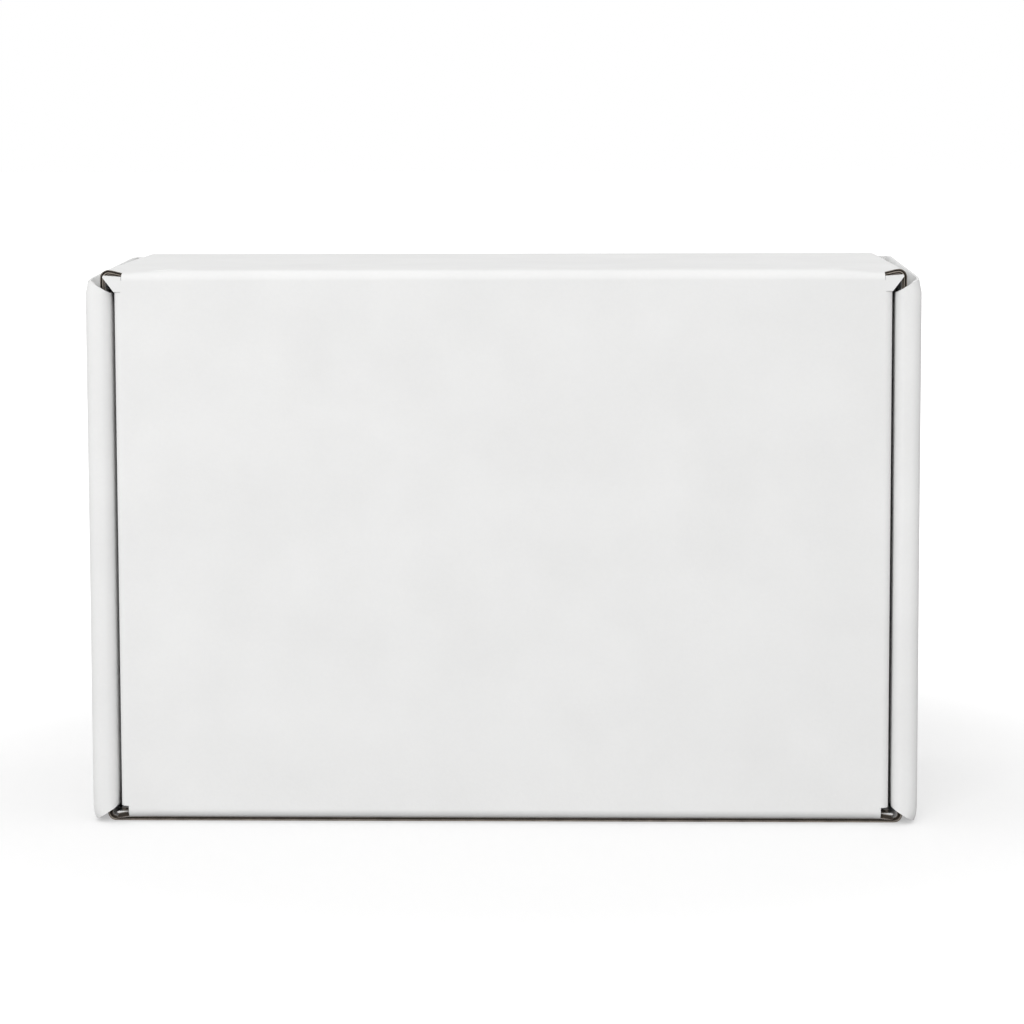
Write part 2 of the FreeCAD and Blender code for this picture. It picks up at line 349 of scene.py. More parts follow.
def inward_step(blank, corner, raw):
    """How far a border corner moves for each millimetre that its raw edges are set in."""
    normals = []
    for start, end, is_raw in (
        (blank.before[corner], corner, raw[blank.before[corner]]),
        (corner, blank.border[corner], raw[corner]),
    ):
        if is_raw:
            run = Vector(blank.points[end]) - Vector(blank.points[start])
            normals.append(Vector((-run.y, run.x)).normalized())
    if len(normals) == 1:
        return normals[0]
    total = normals[0] + normals[1]
    return total / max(1 + normals[0].dot(normals[1]), SHARPEST)


def raw_edges(blank, shape):
    """Whether each border edge shows the open board, which seams and pressed edges don't."""
    raw = {}
    for start, end in blank.border.items():
        ends = blank.points[start], blank.points[end]
        raw[start] = not (shape.is_pressed(*ends) or shape.is_seam(*ends))
    return raw


def board_points(blank, place, raw, settings):
    """The vertices of both liners, and a ring of vertices through the thickness at each border corner.

    In a ring, 0 and 5 lie on the two faces, 1 and 4 on the lips of the raw edge, and 2 and 3 at the depth
    between them. A corner beside no raw edge has only 0 and 5.
    """
    liner = settings.liner * 1000 / BOARD
    recess = settings.recess * 1000
    sheet = len(blank.points)
    vertices = [place(x, y, share) for share in (0.0, 1.0) for x, y in blank.points]
    rings = {}
    for corner in blank.border:
        ring = {0: corner, 5: corner + sheet}
        if raw[corner] or raw[blank.before[corner]]:
            x, y = blank.points[corner]
            step = inward_step(blank, corner, raw) * recess
            spots = ((x, y, liner), (x + step.x, y + step.y, liner))
            spots += ((x + step.x, y + step.y, 1 - liner), (x, y, 1 - liner))
            for index, spot in enumerate(spots):
                ring[index + 1] = len(vertices)
                vertices.append(place(*spot))
        rings[corner] = ring
    return vertices, rings


def board_faces(blank, raw, rings):
    """The faces of both liners and of all edges, and the material slot of each face."""
    sheet = len(blank.points)
    faces = [list(reversed(face)) for face in blank.faces]
    faces += [[corner + sheet for corner in face] for face in blank.faces]
    slots = [LINER] * len(faces)
    for a, b in blank.border.items():
        one, two = rings[a], rings[b]
        if raw[a]:
            # The face at the back of an open edge takes the painted flute shade, a dark sheet put where
            # there is only shade.
            for index, slot in enumerate((CUT, CUT, FLUTE_SHADE, CUT, CUT)):
                faces.append([one[index], two[index], two[index + 1], one[index + 1]])
                slots.append(slot)
            continue
        face = [one[0], two[0]]
        face += [two[1], two[4]] if 1 in two else []
        face += [two[5], one[5]]
        face += [one[4], one[1]] if 1 in one else []
        faces.append(face)
        slots.append(LINER)
    for corner in blank.border:
        ring = rings[corner]
        if raw[corner] != raw[blank.before[corner]]:
            cap = [ring[1], ring[2], ring[3], ring[4]]
            faces.append(cap if raw[corner] else list(reversed(cap)))
            slots.append(CUT)
    return faces, slots


def is_inside_out(blank, place):
    """Whether the ways across, along and into the board are left-handed, so faces point inwards."""
    x, y = blank.points[blank.faces[0][0]]
    corner = Vector(place(x, y, 0.0))
    spots = ((x + PROBE, y, 0.0), (x, y + PROBE, 0.0), (x, y, 1.0))
    across, along, into = [Vector(place(*spot)) - corner for spot in spots]
    return across.cross(along).dot(into) < 0


def fold_board(name, blank, shape, settings, materials):
    """The blank as folded board: two liners, with the space between them open at each raw edge.

    shape.place(across, along, share) gives the point in millimetres at that share of the thickness.
    Edges that the die has pressed shut are plain and white.
    """
    raw = raw_edges(blank, shape)
    vertices, rings = board_points(blank, shape.place, raw, settings)
    faces, slots = board_faces(blank, raw, rings)
    if is_inside_out(blank, shape.place):
        faces = [list(reversed(face)) for face in faces]
    mesh = bpy.data.meshes.new(name)
    mesh.from_pydata([tuple(value / 1000 for value in vertex) for vertex in vertices], [], faces)
    for material in materials:
        mesh.materials.append(material)
    mesh.polygons.foreach_set("material_index", slots)
    mesh.polygons.foreach_set("use_smooth", [slot == LINER for slot in slots])
    write_blank_map(mesh, blank)
    mesh.set_sharp_from_angle(angle=math.radians(SHARP_ANGLE))
    mesh.validate()
    piece = bpy.data.objects.new(name, mesh)
    bpy.context.scene.collection.objects.link(piece)
    return piece, raw


def write_blank_map(mesh, blank):
    """A UV map in metres of the flat blank."""
    sheet = len(blank.points)
    layer = mesh.uv_layers.new(name="blank")
    for loop in mesh.loops:
        index = loop.vertex_index % sheet if loop.vertex_index < 2 * sheet else 0
        x, y = blank.points[index]
        layer.data[loop.index].uv = (x / 1000, y / 1000)


def flute_strip(blank, place, raw, settings):
    """The fluted paper inside every raw edge, still flat: sections to be waved by the node tree.

    Returns points, faces and, for each point, the way across the board, the side and the blank place.
    """
    depth = settings.recess * 1000 + FLUTE_OVERLAP
    points, faces, rises, sides, places = [], [], [], [], []
    for a, b in blank.border.items():
        if not raw[a]:
            continue
        start, end = Vector(blank.points[a]), Vector(blank.points[b])
        steps = (inward_step(blank, a, raw), inward_step(blank, b, raw))
        along, across = abs(end.y - start.y), abs(end.x - start.x)
        count = max(1, math.ceil(along / FLUTE_STEP), math.ceil(across / FLUTE_STEP_ACROSS))
        base = len(points)
        for index in range(count + 1):
            share = index / count
            spot = start.lerp(end, share)
            step = steps[0].lerp(steps[1], share)
            for reach, side in ((FLUTE_FRONT, -1), (FLUTE_FRONT, 1), (depth, 1), (depth, -1)):
                x, y = spot + step * reach
                low, high = Vector(place(x, y, 0.0)), Vector(place(x, y, 1.0))
                points.append(tuple((low + high) / 2000))
                rises.append(tuple((high - low) / BOARD))
                sides.append(side)
                places.append((spot.x / 1000, spot.y / 1000, 0.0))
        for index in range(count):
            here, there = base + 4 * index, base + 4 * index + 4
            for edge in range(4):
                following = (edge + 1) % 4
                faces.append([here + edge, there + edge, there + following, here + following])
        faces.append([base + 3, base + 2, base + 1, base])
        last = base + 4 * count
        faces.append([last, last + 1, last + 2, last + 3])
    return points, faces, rises, sides, places


def join(tree, start, socket, end, target):
    tree.links.new(start.outputs[socket], end.inputs[target])


def maths(tree, operation, first, second=None):
    node = tree.nodes.new("ShaderNodeMath")
    node.operation = operation
    for index, value in enumerate((first, second)):
        if value is None:
            continue
        if isinstance(value, (int, float)):
            node.inputs[index].default_value = value
        else:
            tree.links.new(value, node.inputs[index])
    return node.outputs[0]


def flute_tree():
    """Waves the flat sections: the paper rises and falls once every pitch along the blank."""
    tree = bpy.data.node_groups.new("Flute waves", "GeometryNodeTree")
    face = tree.interface
    face.new_socket("Geometry", in_out="INPUT", socket_type="NodeSocketGeometry")
    for name, value in (
        ("Pitch", FLUTE_PITCH),
        ("Height", BOARD / 1000 - 2 * LINER_PAPER - FLUTE_PAPER),
        ("Paper Thickness", FLUTE_PAPER),
        ("Drift", FLUTE_DRIFT),
        ("Drift Length", FLUTE_DRIFT_LENGTH),
    ):
        socket = face.new_socket(name, in_out="INPUT", socket_type="NodeSocketFloat")
        socket.default_value = value
        socket.subtype = "DISTANCE"
    seed = face.new_socket("Seed", in_out="INPUT", socket_type="NodeSocketFloat")
    seed.default_value = FLUTE_SEED
    face.new_socket("Material", in_out="INPUT", socket_type="NodeSocketMaterial")
    face.new_socket("Geometry", in_out="OUTPUT", socket_type="NodeSocketGeometry")
    given = tree.nodes.new("NodeGroupInput")
    result = tree.nodes.new("NodeGroupOutput")
    named = {}
    for name, kind in (("rise", "FLOAT_VECTOR"), ("side", "FLOAT"), ("place", "FLOAT_VECTOR")):
        node = tree.nodes.new("GeometryNodeInputNamedAttribute")
        node.data_type = kind
        node.inputs["Name"].default_value = name
        named[name] = node.outputs["Attribute"]
    parts = tree.nodes.new("ShaderNodeSeparateXYZ")
    tree.links.new(named["place"], parts.inputs[0])
    wander = tree.nodes.new("ShaderNodeTexNoise")
    wander.noise_dimensions = "1D"
    wander.inputs["Scale"].default_value = 1.0
    wander.inputs["Detail"].default_value = 1.0
    stretched = maths(tree, "DIVIDE", parts.outputs["X"], given.outputs["Drift Length"])
    tree.links.new(maths(tree, "ADD", stretched, given.outputs["Seed"]), wander.inputs["W"])
    drift = maths(tree, "MULTIPLY", maths(tree, "SUBTRACT", wander.outputs[0], 0.5), given.outputs["Drift"])
    turns = maths(tree, "DIVIDE", maths(tree, "ADD", parts.outputs["Y"], drift), given.outputs["Pitch"])
    wave = maths(tree, "SINE", maths(tree, "MULTIPLY", turns, 2 * math.pi))
    swing = maths(tree, "MULTIPLY", wave, maths(tree, "MULTIPLY", given.outputs["Height"], 0.5))
    half = maths(tree, "MULTIPLY", given.outputs["Paper Thickness"], 0.5)
    shift = maths(tree, "ADD", swing, maths(tree, "MULTIPLY", named["side"], half))
    scale = tree.nodes.new("ShaderNodeVectorMath")
    scale.operation = "SCALE"
    tree.links.new(named["rise"], scale.inputs[0])
    tree.links.new(shift, scale.inputs["Scale"])
    move = tree.nodes.new("GeometryNodeSetPosition")
    join(tree, given, "Geometry", move, "Geometry")
    tree.links.new(scale.outputs[0], move.inputs["Offset"])
    realize = tree.nodes.new("GeometryNodeRealizeInstances")
    join(tree, move, "Geometry", realize, "Geometry")
    paint = tree.nodes.new("GeometryNodeSetMaterial")
    join(tree, realize, "Geometry", paint, "Geometry")
    join(tree, given, "Material", paint, "Material")
    join(tree, paint, "Geometry", result, "Geometry")
    return tree


def flat_flutes(name, strip):
    """The still flat strip as an object, with what the node tree reads at each of its points."""
    points, faces, rises, sides, places = strip
    mesh = bpy.data.meshes.new(name)
    mesh.from_pydata(points, [], faces)
    for label, values in (("rise", rises), ("place", places)):
        attribute = mesh.attributes.new(label, "FLOAT_VECTOR", "POINT")
        attribute.data.foreach_set("vector", [part for value in values for part in value])
    mesh.attributes.new("side", "FLOAT", "POINT").data.foreach_set("value", [float(side) for side in sides])
    flat = bpy.data.objects.new(name, mesh)
    bpy.context.scene.collection.objects.link(flat)
    return flat


def baked(flat, name):
    """What the node tree makes of a flat strip, as a plain mesh with its faces outwards."""
    bpy.context.view_layer.update()
    evaluated = flat.evaluated_get(bpy.context.evaluated_depsgraph_get())
    waved = bpy.data.meshes.new_from_object(evaluated)
    flat.modifiers.clear()
    source = flat.data
    bpy.data.objects.remove(flat)
    bpy.data.meshes.remove(source)
    for label in ("rise", "place", "side"):
        if label in waved.attributes:
            waved.attributes.remove(waved.attributes[label])
    model = bmesh.new()
    model.from_mesh(waved)
    bmesh.ops.recalc_face_normals(model, faces=model.faces)
    model.to_mesh(waved)
    model.free()
    waved.name = name
    return waved


def make_flutes(name, strip, body, settings, material):
    """The waved fluted paper in the raw edges of one piece."""
    flat = flat_flutes(name + "_flat", strip)
    tree = bpy.data.node_groups.get("Flute waves") or flute_tree()
    modifier = flat.modifiers.new("Flute waves", "NODES")
    modifier.node_group = tree
    values = {
        "Pitch": settings.flute_pitch,
        "Height": BOARD / 1000 - 2 * settings.liner - settings.flute_paper,
        "Paper Thickness": settings.flute_paper,
        "Drift": FLUTE_DRIFT,
        "Drift Length": FLUTE_DRIFT_LENGTH,
        "Seed": FLUTE_SEED,
        "Material": material,
    }
    for item in tree.interface.items_tree:
        if item.item_type == "SOCKET" and item.in_out == "INPUT" and item.name in values:
            modifier[item.identifier] = values[item.name]
    piece = bpy.data.objects.new(name, baked(flat, name))
    bpy.context.scene.collection.objects.link(piece)
    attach(piece, body)
    return piece


def box_panel(left, right, low, high):
    return [(left, low), (right, low), (right, high), (left, high)]


def mirrored(panels):
    """The panels and their mirror images on the other half of the blank."""
    return panels + [[(-x, y) for x, y in reversed(panel)] for panel in panels]


def both_ways(lines):
    return lines + [-value for value in lines]


def even_lines(half, step):
    """Evenly spaced lines over a panel that reaches as far to both sides of the middle."""
    return [-half + step * index for index in range(int(2 * half / step) + 1)]


def waviness(x, y, seed, reach):
    """The slow unevenness of a panel, in millimetres, from -1 to 1 times the reach."""
    place = (x / WAVE_LENGTH + seed, y / WAVE_LENGTH - seed, seed * WAVE_SEED_STEP)
    return noise.noise(Vector(place)) * reach


def hollow(x, y, seed, depth):
    """How far a panel lies inside its plane, from nothing to twice the depth."""
    return depth + waviness(x, y, seed, depth)


def fade(value, low, high, width):
    """0 at and outside both ends, 1 further in than the width."""
    share = min(max((min(value - low, high - value)) / width, 0.0), 1.0)
    return share * share * (3 - 2 * share)


def droop(out, run):
    """How far the hinge crease sinks towards its ends, where the rear wall's edge is cut free."""
    if out <= HINGE_HALF:
        across = fade(out, HINGE_HALF - DROOP_RUN, HINGE_HALF + 2 * DROOP_RUN, DROOP_RUN)
    else:
        across = max(0.0, 1 - (out - HINGE_HALF) / DROOP_TAIL) ** DROOP_POWER
    reach = max(0.0, 1 - (run / DROOP_BACK if run > 0 else -run / DROOP_AHEAD))
    return DROOP * across * reach * reach * (3 - 2 * reach)


class TrayShape:
    """Where each place of the tray's blank lies. Across runs along X, and along starts at the hinge."""

    def __init__(self):
        self.ends = FoldPath([(REAR_EDGE, TOP), (BACK, TOP), (BACK, 0), (FRONT_EDGE, 0)], [FOLD_RADIUS] * 2)
        walls = [(0, BACK), (HALF_WIDTH, BACK), (HALF_WIDTH, FRONT)]
        walls += [(INNER_FACE, FRONT), (INNER_FACE, TAB_END)]
        self.walls = FoldPath(walls, [FOLD_RADIUS, RIM_RADIUS, RIM_RADIUS])
        dust = [(0, TOP), (DUST_OUTER, TOP), (DUST_OUTER, TOP - DUST_LENGTH)]
        self.dust = FoldPath(dust, [FOLD_RADIUS])
        self.base_start = self.ends.bends[0][1]
        self.rear_end = self.ends.bends[0][0]
        self.front_start = self.ends.bends[1][1]

    def along_of(self, z):
        """Where that height of the base and side walls lies along the blank, and the other way round."""
        return self.base_start + (TOP - FOLD_RADIUS) - z

    def crush(self, along):
        """The board's thickness, which lessens towards the front wall's free edge."""
        reach = self.ends.length - along
        return BOARD - CRUSH_DROP * max(0.0, 1 - reach / CRUSH_LENGTH)

    def place(self, across, along, share):
        side = math.copysign(1.0, across)
        out = abs(across)
        if out <= CREASE_HALF + TINY:
            (y, z), into = self.ends.at(along)
            deep = share * self.crush(along) + self.sag(across, along)
            return across, y + into.x * deep, z + into.y * deep - droop(out, along)
        if along < self.rear_end + DUST_REACH:
            (x, z), into = self.dust.at(out)
            deep = share * BOARD
            return side * (x + into.x * deep), REAR_EDGE + along, z + into.y * deep - droop(out, along)
        if along > self.front_start - DUST_REACH:
            (x, z), into = self.dust.at(out)
            deep = share * (self.crush(along) if out < DUST_OUTER - FOLD_RADIUS else BOARD)
            y = self.ends.at(along)[0].x
            return side * (x + into.x * deep), y, TOP - z - into.y * deep
        (x, y), into = self.walls.at(out)
        deep = share * BOARD * self.pinch(out, along) + self.wall_sag(out, along)
        lean = self.lean(out, along)
        return side * (x - lean + into.x * deep), y + into.y * deep, self.along_of(along)

    def ends_of_wall(self, out):
        """Where the rolled wall's upper and lower cut edges lie along the blank."""
        x, y = self.walls.at(out)[0]
        inner = max(0.0, (out - self.walls.bends[1][0]) / (self.walls.bends[2][1] - self.walls.bends[1][0]))
        slope = min(1.0, (HALF_WIDTH - x) / (HALF_WIDTH - INNER_FACE)) if inner else 0.0
        back = 0.0 if inner else min(1.0, max(0.0, (y - FRONT) / (BACK - FRONT)))
        high = SIDE_TOP + (SIDE_TOP_BACK - SIDE_TOP) * back - (SIDE_TOP - RIM_HEAD) * slope
        low = SIDE_FOOT + (RIM_FOOT - SIDE_FOOT) * slope
        return self.along_of(high), self.along_of(low)

    def pinch(self, out, along):
        """The share of the thickness that the die leaves at the cut edges of the outer wall and rim."""
        start, end = self.walls.bends[0][1], self.walls.bends[2][1]
        if out < start or out > end:
            return 1.0
        upper, lower = self.ends_of_wall(out)
        reach = min(max(min(along - upper, lower - along), 0.0) / PINCH_REACH, 1.0)
        blend = min(1.0, (out - start) / PINCH_WALL_FADE, (end - out) / PINCH_RIM_FADE)
        return 1 - (1 - PINCH) * (1 - reach) ** 2 * blend

    def lean(self, out, along):
        """How far the outer corner of the rolled wall is pressed in at its two ends."""
        middle = (self.walls.bends[1][0] + self.walls.bends[1][1]) / 2
        upper, lower = self.ends_of_wall(out)
        reach = 1 - min(max(min(along - upper, lower - along), 0.0) / LEAN_REACH, 1.0)
        return LEAN * reach**LEAN_POWER * max(0.0, 1 - abs(out - middle) / LEAN_WIDTH)

    def sag(self, across, along):
        """How far the rear wall and the base lie inside their planes."""
        edge = fade(across, -CREASE_HALF, CREASE_HALF, SAG_SIDES)
        base_end = self.ends.bends[1][0]
        if along < self.rear_end:
            ends = fade(along, 0, self.rear_end, SAG_ENDS)
            return edge * ends * hollow(across, along, REAR_SEED, REAR_SAG)
        if self.base_start < along < base_end:
            ends = fade(along, self.base_start, base_end, SAG_ENDS)
            return edge * ends * hollow(across, along, BASE_SEED, PANEL_SAG)
        return 0.0

    def wall_sag(self, out, along):
        """How far the outer side wall lies inside its plane."""
        start, end = self.walls.bends[0][1], self.walls.bends[1][0]
        if start < out < end:
            tall = fade(along, self.along_of(SIDE_TOP), self.along_of(SIDE_FOOT), SAG_HEIGHT)
            return tall * fade(out, start, end, SAG_ENDS) * hollow(out, along, WALL_SEED, PANEL_SAG)
        return 0.0

    def panels(self):
        """The tray's panels, from the hinge crease over the rear wall and base to the front wall's edge."""
        head, foot = self.along_of(SIDE_TOP), self.along_of(SIDE_FOOT)
        back = self.along_of(SIDE_TOP_BACK)
        slit = self.ends.bends[1][0]
        wall_start = self.walls.bends[0][1]
        rim_start = self.walls.bends[1][0]
        rim_end = self.walls.bends[2][1]
        inner_end = self.walls.length - (TAB_END - INNER_END)
        root = self.dust.bends[0][1] + FOLD_RADIUS
        tip = self.dust.length
        full = self.ends.length
        flap = [(root, 0), (tip, DUST_TAPER), (tip, self.rear_end - DUST_TAPER), (root, self.rear_end)]
        front = self.front_start
        flap_two = [(root, front), (tip, front + DUST_TAPER), (tip, full - DUST_TAPER), (root, full)]
        half = [
            box_panel(HINGE_HALF, CREASE_HALF, 0, full),
            box_panel(CREASE_HALF, root, 0, self.rear_end),
            flap,
            box_panel(CREASE_HALF, root, front, full),
            flap_two,
            box_panel(CREASE_HALF, wall_start, back, slit),
            box_panel(CREASE_HALF + SLIT, wall_start, slit, foot),
            [(wall_start, back), (rim_start, head), (rim_start, slit), (wall_start, slit)],
            box_panel(wall_start, rim_start, slit, foot),
            box_panel(rim_end, inner_end, self.along_of(RIM_HEAD), self.along_of(RIM_FOOT)),
        ]
        for middle in TAB_MIDDLES:
            low, high = self.along_of(middle + TAB_HALF), self.along_of(middle - TAB_HALF)
            half.append(box_panel(inner_end, self.walls.length, low, high))
        half += self.mitred_rim(rim_start, rim_end)
        return [box_panel(-HINGE_HALF, HINGE_HALF, SEAM, full)] + mirrored(half)

    def mitred_rim(self, start, end):
        """The rim between the outer and the inner wall, cut slanting at both ends."""
        strips = []
        for index in range(RIM_STRIPS):
            left, right = [start + (end - start) * (index + part) / RIM_STRIPS for part in (0, 1)]
            left_low, left_high = self.ends_of_wall(left)
            right_low, right_high = self.ends_of_wall(right)
            strips.append([(left, left_low), (right, right_low), (right, right_high), (left, left_high)])
        return strips

    def slots(self):
        """The slots in the base that take the locking tabs: left, right, low and high side of each."""
        near, far = INNER_FACE - SLOT_PLAY, INNER_FACE + BOARD + SLOT_PLAY
        reach = TAB_HALF + SLOT_PLAY
        holes = []
        for middle in TAB_MIDDLES:
            low, high = self.along_of(middle + reach), self.along_of(middle - reach)
            holes += [(near, far, low, high), (-far, -near, low, high)]
        return holes

    def blank(self, settings):
        bends = settings.bend_segments
        across = both_ways(self.walls.lines(WALL_STEP, bends) + self.dust.lines(WALL_STEP, bends))
        along = self.ends.lines(WALL_STEP, bends)
        for left, right, low, high in self.slots():
            across += [left, right]
            along += [low, high]
        return Blank(self.panels(), across, along, self.slots())

    def is_seam(self, start, end):
        ahead = max(start[1], end[1]) <= SEAM + NEAR
        inside = max(abs(start[0]), abs(end[0])) <= HINGE_HALF + NEAR
        return ahead and inside

    def is_pressed(self, start, end):
        """The outer wall's and the rim's cut ends, and the base's corners beside them."""
        near, far = sorted((abs(start[0]), abs(end[0])))
        low, high = sorted((start[1], end[1]))
        between = self.rear_end + PRESS_LEAD < low and high < self.front_start - PRESS_LEAD
        return between and near > CREASE_HALF - PRESS_NEAR and far < self.walls.bends[2][1] + PRESS_NEAR


class LidShape:
    """Where each place of the lid's blank lies. Across runs along X, and along is the height."""

    def __init__(self):
        flaps = [(0, -LID_OUTER), (LID_HALF, -LID_OUTER), (LID_HALF, -FLAP_END)]
        self.flaps = FoldPath(flaps, [LID_RADIUS])
        self.flat_half = self.flaps.bends[0][0]

    def place(self, across, along, share):
        out = abs(across)
        side = math.copysign(1.0, across)
        deep = share * BOARD
        if out <= self.flat_half + TINY or along > FLAP_HEAD - SLIT / 2:
            sides = fade(across, -self.flat_half, self.flat_half, LID_WAVE_SIDES)
            ends = fade(along, TUCK_EDGE, HINGE_EDGE, LID_WAVE_ENDS)
            deep += sides * ends * (waviness(across, along, LID_SEED, LID_WAVE) - LID_RISE)
            return across, LID_OUTER + deep, along
        (x, y), into = self.flaps.at(out)
        return side * (x + into.x * deep), -(y + into.y * deep), along

    def blank(self, settings):
        flat, tip = self.flat_half, self.flaps.length
        root = self.flaps.bends[0][1]
        head = FLAP_HEAD - SLIT
        foot = FLAP_FOOT + FLAP_FOOT_SLANT
        half = [
            box_panel(HINGE_HALF, flat, FLAP_FOOT, HINGE_EDGE),
            box_panel(flat, root, FLAP_FOOT, head),
            [(root, FLAP_FOOT), (tip, foot), (tip, head - FLAP_HEAD_SLANT), (root, head)],
            [(flat, FLAP_HEAD), (LID_HALF, FLAP_HEAD), (CORNER_ROOT, HINGE_EDGE), (flat, HINGE_EDGE)],
            [
                (CORNER_SLIT, HINGE_EDGE),
                (CORNER_ROOT, HINGE_EDGE),
                (CORNER_TIP, HINGE_EDGE + CORNER_TIP_RISE),
                (CORNER_TIP - CORNER_ROUND, HINGE_EDGE + CORNER_HEAD_RISE),
                (CORNER_SLIT, HINGE_EDGE + CORNER_SLIT_RISE),
            ],
        ]
        centre = box_panel(-HINGE_HALF, HINGE_HALF, TUCK_EDGE + SEAM, HINGE_EDGE - SEAM)
        across = both_ways([CORNER_SLIT] + self.flaps.lines(LID_STEP, settings.bend_segments))
        rows = math.ceil((HINGE_EDGE - TUCK_EDGE) / LID_STEP)
        along = [FLAP_HEAD] + [TUCK_EDGE + LID_STEP * index for index in range(rows)]
        return Blank([centre] + mirrored(half), across, along)

    def is_seam(self, start, end):
        inside = max(abs(start[0]), abs(end[0])) <= HINGE_HALF + NEAR
        low = max(start[1], end[1]) <= TUCK_EDGE + SEAM + NEAR
        high = min(start[1], end[1]) >= HINGE_EDGE - SEAM - NEAR
        return inside and (low or high)

    def is_pressed(self, start, end):
        """The small corners beyond the hinge crease, and what the creases leave beside them."""
        near = min(abs(start[0]), abs(end[0]))
        head = min(start[1], end[1]) > FLAP_HEAD - 2 * SLIT and near < CORNER_TIP
        foot = max(start[1], end[1]) < FLAP_FOOT + PRESS_NEAR and near < self.flat_half
        return head or foot


class TuckShape:
    """Where each place of the tuck flap's blank lies. Along starts at the crease."""

    def __init__(self):
        centre = Vector((LID_OUTER + TUCK_RADIUS, TUCK_EDGE))
        self.up = Vector((-math.sin(TUCK_LEAN), math.cos(TUCK_LEAN)))
        self.ahead = Vector((math.cos(TUCK_LEAN), math.sin(TUCK_LEAN)))
        self.root = centre - self.up * TUCK_RADIUS

    def place(self, across, along, share):
        y, z = self.root + self.ahead * along + self.up * (share * BOARD)
        return across, y, z

    def blank(self, settings):
        half, corner, depth = HINGE_HALF, TUCK_CORNER, TUCK_DEPTH
        ring = []
        for index in range(CORNER_SEGMENTS + 1):
            angle = math.radians(90 * index / CORNER_SEGMENTS)
            x = half - corner + corner * math.cos(angle)
            ring.append((x, depth - corner + corner * math.sin(angle)))
        body = [(-half, EAR_ROOT), (half, EAR_ROOT)] + ring + [(-x, y) for x, y in reversed(ring)]
        ears = [[(half, EAR_FOOT), (EAR_HALF, EAR_FOOT), (EAR_HALF, EAR_TIP), (half, EAR_ROOT)]]
        panels = [box_panel(-half, half, SEAM, EAR_FOOT), box_panel(-half, half, EAR_FOOT, EAR_ROOT), body]
        along = [LID_STEP * index for index in range(math.ceil(depth / LID_STEP))]
        return Blank(panels + mirrored(ears), even_lines(half, LID_STEP), along)

    def is_seam(self, start, end):
        return max(start[1], end[1]) <= SEAM + NEAR

    def is_pressed(self, start, end):
        return False


class StripShape:
    """A scored strip that bends between two pieces, with a short flat lead at both of its ends."""

    def __init__(self, corners, radius, drop, tongue=None):
        self.path = FoldPath(corners, [radius])
        self.drop = drop
        self.tongue = tongue

    def place(self, across, along, share):
        (y, z), into = self.path.at(along)
        deep = share * BOARD
        drop = self.drop(abs(across), along, self.path.length)
        return across, y + into.x * deep, z + into.y * deep - drop

    def blank(self, settings):
        panels = [box_panel(-HINGE_HALF, HINGE_HALF, 0, self.path.length)]
        if self.tongue:
            panels += mirrored([self.tongue])
        along = self.path.lines(STRIP_STEP, 2 * settings.bend_segments)
        return Blank(panels, even_lines(HINGE_HALF, LID_STEP), along)

    def is_seam(self, start, end):
        low, high = sorted((start[1], end[1]))
        start_lead, end_lead = self.path.bends[0]
        return high <= start_lead + NEAR or low >= end_lead - NEAR

    def is_pressed(self, start, end):
        """The strip's ends, unless it goes on there as a tongue, whose edge is raw."""
        return self.tongue is None and not self.is_seam(start, end)


def hinge_shape():
    def drop(out, along, length):
        return droop(out, along + SEAM - length)

    corners = [(LID_OUTER, HINGE_EDGE - SEAM), (LID_OUTER, TOP), (REAR_EDGE + SEAM, TOP)]
    return StripShape(corners, HINGE_RADIUS, drop)


def tuck_shape():
    flap = TuckShape()
    start = flap.root + flap.ahead * SEAM
    reach = (flap.root.x - LID_OUTER) / flap.ahead.x
    corner = flap.root - flap.ahead * reach
    outs = (TONGUE_HALF - TONGUE_ROUND, TONGUE_HALF, TONGUE_HALF - TONGUE_ROUND, HINGE_HALF)
    tongue = [(HINGE_HALF, SEAM)] + [(out, SEAM + rise) for out, rise in zip(outs, TONGUE_RISES)]

    def drop(out, along, length):
        root = HINGE_HALF - TONGUE_LEAD
        reach = min(max((out - root) / (TONGUE_HALF - root), 0.0), 1.0)
        return TONGUE_DROP * reach * reach * fade(along, SEAM, length - SEAM, TONGUE_FADE)

    path = [tuple(start), tuple(corner), (LID_OUTER, TUCK_EDGE + SEAM)]
    return StripShape(path, TUCK_RADIUS, drop, tongue)


def new_material(name):
    """A material's tree and its Principled shader."""
    material = bpy.data.materials.new(name)
    material.use_nodes = True
    return material.node_tree, material.node_tree.nodes["Principled BSDF"]


def noise_node(tree, scale, detail, roughness=0.5):
    """Noise over the object's own coordinates, with this many features to the metre."""
    where = tree.nodes.get("Place") or tree.nodes.new("ShaderNodeTexCoord")
    where.name = "Place"
    node = tree.nodes.new("ShaderNodeTexNoise")
    node.inputs["Scale"].default_value = scale
    node.inputs["Detail"].default_value = detail
    node.inputs["Roughness"].default_value = roughness
    tree.links.new(where.outputs["Object"], node.inputs["Vector"])
    return node.outputs[0]


def map_range(tree, value, source, result):
    """A value carried from one range to another."""
    node = tree.nodes.new("ShaderNodeMapRange")
    node.inputs["From Min"].default_value, node.inputs["From Max"].default_value = source
    node.inputs["To Min"].default_value, node.inputs["To Max"].default_value = result
    tree.links.new(value, node.inputs["Value"])
    return node


def spread(tree, value, low, high):
    """The middle of a noise value stretched to a range."""
    return map_range(tree, value, NOISE_MIDDLE, (low, high)).outputs[0]


def shade_paper(tree, shader, colour, shade):
    """The paper's colour, made lighter and darker by the shade."""
    tint = tree.nodes.new("ShaderNodeVectorMath")
    tint.operation = "SCALE"
    tint.inputs[0].default_value = colour[:3]
    tree.links.new(shade, tint.inputs["Scale"])
    tree.links.new(tint.outputs[0], shader.inputs["Base Color"])


